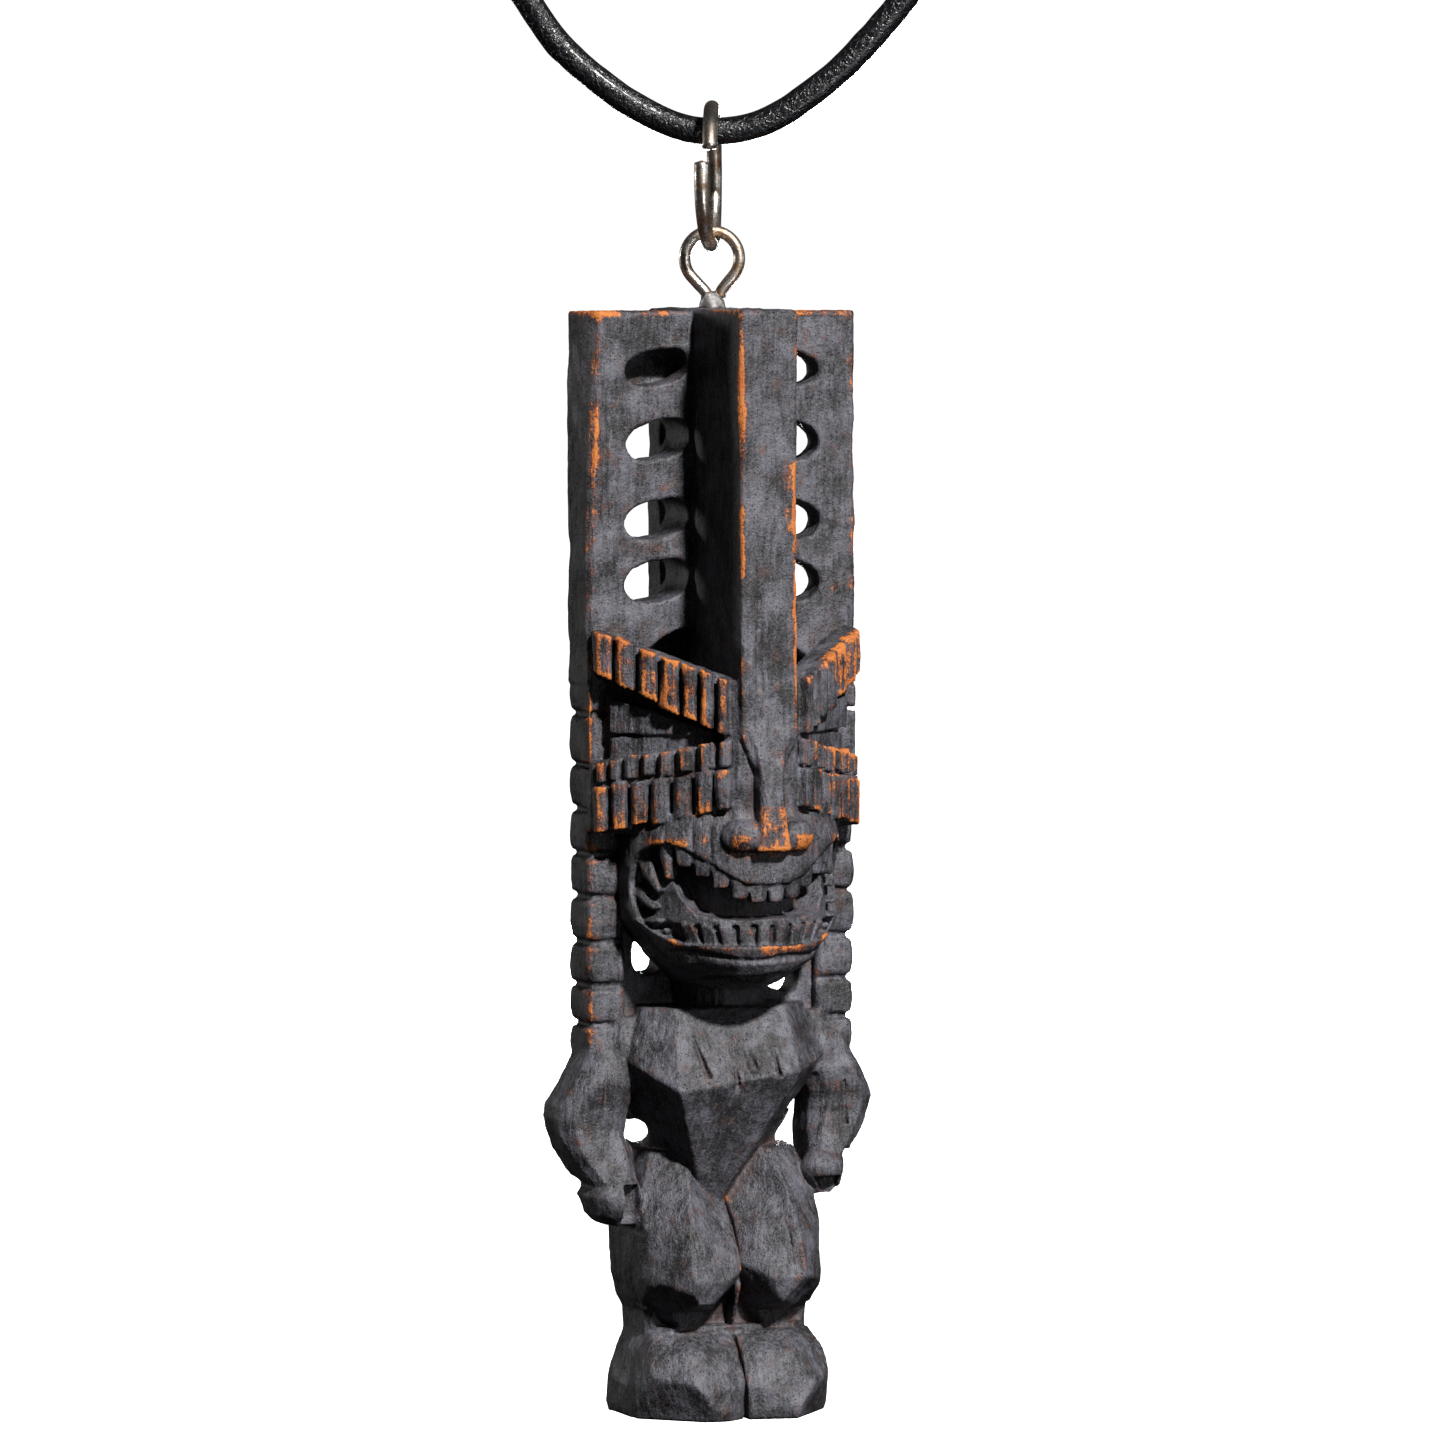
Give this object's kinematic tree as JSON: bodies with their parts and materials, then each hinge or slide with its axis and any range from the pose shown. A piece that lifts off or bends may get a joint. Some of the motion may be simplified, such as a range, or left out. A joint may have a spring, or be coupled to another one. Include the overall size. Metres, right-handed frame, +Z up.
{
  "type": "tiki pendant",
  "caption": "Carved dark tiki figure pendant with a pierced headdress, hung by an eye pin and an open jump ring on a folded black leather neck cord.",
  "frame": {"origin": "underside of the folded cord's top bend, where a peg or hook carries the pendant; everything hangs below it", "axes": "+Z up, the figure faces -Y, +X is to the right of a person who looks at its face"},
  "size_m": [0.0341, 0.021, 0.168],
  "materials": {
    "stained_wood": "near-black stain, matt, fine granular surface",
    "worn_wood": "stain rubbed through to orange brown on the ridges",
    "wire": "dull nickel with brown tarnish",
    "glue": "hardened grey glue",
    "leather": "black, glossy, crackled"
  },
  "bodies": {
    "cord": {"cord_strand": "leather", "cord_hank": "leather", "cord_tie": "leather", "cord_knot": "leather"},
    "ring": {"jump_ring": "wire"},
    "figure": {"headdress_plate": "stained_wood", "front_fin": "stained_wood", "rear_spine": "stained_wood", "skull": "stained_wood", "face_block": "stained_wood", "nose_bridge": "stained_wood", "nose_tip": "worn_wood", "brow_left": "worn_wood", "brow_right": "worn_wood", "eyelid_left": "stained_wood", "eyelid_right": "stained_wood", "upper_cheek_left": "stained_wood", "upper_cheek_right": "stained_wood", "lower_cheek_left": "worn_wood", "lower_cheek_right": "worn_wood", "muzzle": "stained_wood", "upper_teeth": "stained_wood", "lower_teeth": "stained_wood", "braid_left": "stained_wood", "braid_right": "stained_wood", "neck": "stained_wood", "torso": "stained_wood", "upper_arm_left": "stained_wood", "upper_arm_right": "stained_wood", "forearm_left": "stained_wood", "forearm_right": "stained_wood", "leg_left": "stained_wood", "leg_right": "stained_wood", "foot_left": "stained_wood", "foot_right": "stained_wood", "eye_pin": "wire", "glue_bead": "glue"}
  },
  "joints": [
    {"name": "ring_swing", "type": "hinge", "parent": "cord", "child": "ring", "pos_m": [0, 0, -0.06725], "axis": [0.9272, -0.3746, 0], "range_deg": [-75, 75]},
    {"name": "figure_sway", "type": "hinge", "parent": "ring", "child": "figure", "pos_m": [0, 0, -0.07545], "axis": [0.454, 0.891, 0], "range_deg": [-60, 60]}
  ]
}
